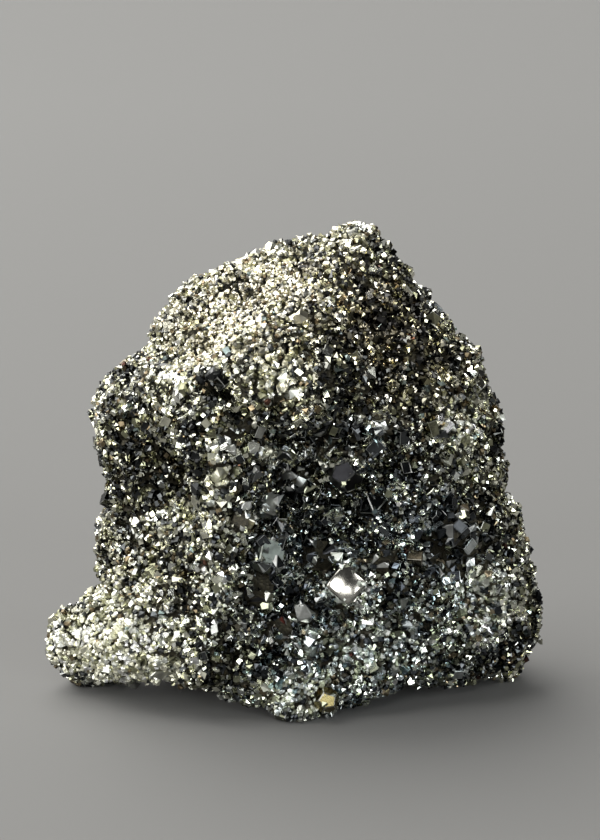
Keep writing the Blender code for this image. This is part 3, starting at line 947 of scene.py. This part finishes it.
# The core and the crust
def build_core():
    """The mass under the crust: the solid's surface, pulled in."""
    moved = points + unit(corner_sums(-normals * areas[:, None])) * CORE_INSET
    moved[:, 2] = np.maximum(moved[:, 2], 0.0)
    mesh = bpy.data.meshes.new("core")
    mesh.from_pydata((moved * MM).tolist(), [], triangles.tolist())
    mesh.materials.append(core_material())
    obj = bpy.data.objects.new("core", mesh)
    bpy.context.scene.collection.objects.link(obj)
    return obj


core = build_core()
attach(core, "root")
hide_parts("pyrite")

crust_look = crystal_material("pyrite_crust", *CRUST_LINES)
druse_look = crystal_material("pyrite_druse", *DRUSE_LINES)
x, y, z = centre.T
crown = ~clean & (z > CROWN_HEIGHT)
front = ~clean & ~crown & (y < 0)
rear = ~clean & ~crown & (y >= 0)
pieces = {
    "druse_crystals": clean,
    "crust_crown": crown,
    "crust_front_left": front & (x < FRONT_CUTS[0]),
    "crust_front_middle": front & (x >= FRONT_CUTS[0]) & (x < FRONT_CUTS[1]),
    "crust_front_right": front & (x >= FRONT_CUTS[1]),
    "crust_rear_left": rear & (x < REAR_CUT),
    "crust_rear_right": rear & (x >= REAR_CUT),
}
for name, mask in pieces.items():
    piece = build_piece(name, np.nonzero(mask)[0], druse_look if name == "druse_crystals" else crust_look)
    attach(piece, "root")


# Camera, light and floor
def look_along(obj, direction):
    """Turns an object so that it looks along a direction."""
    obj.rotation_mode = "QUATERNION"
    obj.rotation_quaternion = Vector(direction).to_track_quat("-Z", "Y")


def add_camera():
    """The camera at the photograph's viewing angle."""
    data = bpy.data.cameras.new("camera")
    data.sensor_width = SENSOR
    data.lens = CAMERA_DISTANCE / MM_PER_PIXEL * SENSOR / IMAGE_LONG_SIDE
    data.clip_start, data.clip_end = CAMERA_CLIP
    camera = bpy.data.objects.new("camera", data)
    back = Vector((0.0, -math.cos(CAMERA_ELEVATION), math.sin(CAMERA_ELEVATION)))
    camera.location = (Vector(CAMERA_AIM) + back * CAMERA_DISTANCE) * MM
    look_along(camera, -back)
    bpy.context.scene.collection.objects.link(camera)
    bpy.context.scene.camera = camera


def add_softbox(name, direction, spread, power, colour):
    """A far round softbox that shines from a direction. Its spread is in degrees."""
    data = bpy.data.lights.new(name, "SUN")
    data.angle = math.radians(spread)
    data.energy = power
    data.color = colour
    light = bpy.data.objects.new(name, data)
    light.location = Vector(direction).normalized()
    look_along(light, -light.location)
    bpy.context.scene.collection.objects.link(light)


def add_floor():
    """A plain pale floor that rises far away, so that no edge of it shows."""
    bm = bmesh.new()
    previous = bm.verts.new((0, 0, 0))
    edges = []
    for ring in range(1, FLOOR_RINGS + 1):
        radius = FLOOR_RADIUS * ring / FLOOR_RINGS
        climb = max(0.0, (radius - FLOOR_FLAT) / (FLOOR_RADIUS - FLOOR_FLAT))
        vert = bm.verts.new((radius, 0, FLOOR_RIM * climb * climb))
        edges.append(bm.edges.new((previous, vert)))
        previous = vert
    bmesh.ops.spin(
        bm, geom=list(bm.verts) + edges, axis=(0, 0, 1), cent=(0, 0, 0),
        steps=FLOOR_SPOKES, angle=2 * math.pi, use_merge=True,
    )
    bmesh.ops.remove_doubles(bm, verts=bm.verts, dist=FLOOR_WELD)
    bmesh.ops.recalc_face_normals(bm, faces=bm.faces)
    mesh = bpy.data.meshes.new("floor")
    bm.to_mesh(mesh)
    bm.free()
    mesh.shade_smooth()
    floor = bpy.data.objects.new("floor", mesh)
    bpy.context.scene.collection.objects.link(floor)
    material, _, shader = new_material("floor")
    shader.inputs["Base Color"].default_value = FLOOR_COLOUR
    shader.inputs["Roughness"].default_value = FLOOR_ROUGHNESS
    mesh.materials.append(material)


def add_world():
    """A dim room with a soft glow high behind the left."""
    world = bpy.data.worlds.new("room")
    world.use_nodes = True
    nodes, links = world.node_tree.nodes, world.node_tree.links
    where = nodes.new("ShaderNodeTexCoord")
    toward = nodes.new("ShaderNodeVectorMath")
    toward.operation = "DOT_PRODUCT"
    toward.inputs[1].default_value = Vector(GLOW_DIRECTION).normalized()
    links.new(where.outputs["Generated"], toward.inputs[0])
    glow = nodes.new("ShaderNodeMapRange")
    glow.interpolation_type = "SMOOTHSTEP"
    glow.inputs["From Min"].default_value = GLOW_EDGE
    glow.inputs["From Max"].default_value = 1.0
    glow.inputs["To Min"].default_value = ROOM_LEVEL
    glow.inputs["To Max"].default_value = GLOW_LEVEL
    links.new(toward.outputs["Value"], glow.inputs["Value"])
    background = nodes["Background"]
    background.inputs["Color"].default_value = ROOM_COLOUR
    links.new(glow.outputs["Result"], background.inputs["Strength"])
    bpy.context.scene.world = world


add_camera()
add_floor()
add_world()
for name, (direction, spread, power, light_colour) in SOFTBOXES.items():
    add_softbox(name, direction, spread, power, light_colour)
bpy.context.scene.view_settings.view_transform = "Standard"
